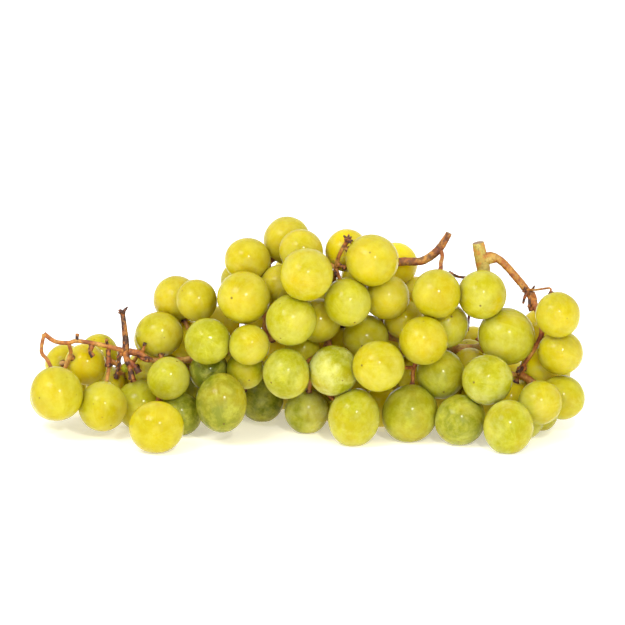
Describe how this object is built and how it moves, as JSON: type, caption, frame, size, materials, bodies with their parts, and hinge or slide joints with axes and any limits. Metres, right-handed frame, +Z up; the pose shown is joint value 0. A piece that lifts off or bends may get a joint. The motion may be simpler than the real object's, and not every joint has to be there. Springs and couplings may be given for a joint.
{
  "type": "bunch of grapes",
  "caption": "A bunch of white table grapes lying on its side: pressed round berries in sprays on a branched woody stem, with a cut stalk at one end",
  "frame": {"origin": "centre of the bunch's footprint, on the surface that it lies on", "axes": "+X along the bunch from its drooping tip to its stalk end, -Y the front, +Z up"},
  "size_m": [0.2317, 0.1088, 0.0879],
  "materials": {
    "berry_skin": "thin translucent yellow-green skin, softly glossy, with a faint waxy bloom",
    "stem_wood": "matt, brown and orange, dry and ridged, greener at the stalk"
  },
  "bodies": {
    "root": {"berries_front_berry": "berry_skin", "berries_left_end": "berry_skin", "berries_left_low": "berry_skin", "berries_left_mid": "berry_skin", "berries_left_centre": "berry_skin", "berries_top_left": "berry_skin", "berries_top": "berry_skin", "berries_top_right": "berry_skin", "berries_middle": "berry_skin", "berries_front_centre": "berry_skin", "berries_inner_left": "berry_skin", "berries_inner_centre": "berry_skin", "berries_right_front": "berry_skin", "berries_right_low": "berry_skin", "berries_right_core": "berry_skin", "berries_right_inner": "berry_skin", "berries_right_wing": "berry_skin", "berries_right_end": "berry_skin", "berries_far_left": "berry_skin", "berries_far_top": "berry_skin", "berries_far_centre": "berry_skin", "berries_far_right": "berry_skin", "berries_far_wing": "berry_skin", "stem": "stem_wood"}
  },
  "joints": []
}
